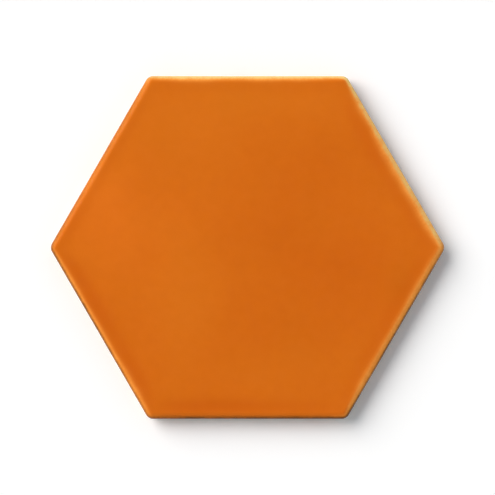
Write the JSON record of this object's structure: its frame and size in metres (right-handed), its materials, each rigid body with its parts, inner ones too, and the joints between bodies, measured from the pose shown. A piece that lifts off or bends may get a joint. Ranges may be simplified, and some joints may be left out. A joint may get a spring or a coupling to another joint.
{
  "type": "hexagon floor tile",
  "caption": "Hexagonal glazed clay floor tile with a soft bevelled rim and a honeycomb-keyed back.",
  "frame": {"origin": "on the flat back, under the middle of the face", "axes": "+Z from the back to the glazed face, +X through a corner, +Y square to a side"},
  "size_m": [0.2294, 0.2, 0.012],
  "materials": {
    "orange_glaze": "gloss"
  },
  "bodies": {
    "root": {"hexagon_tile": "orange_glaze"}
  },
  "joints": []
}
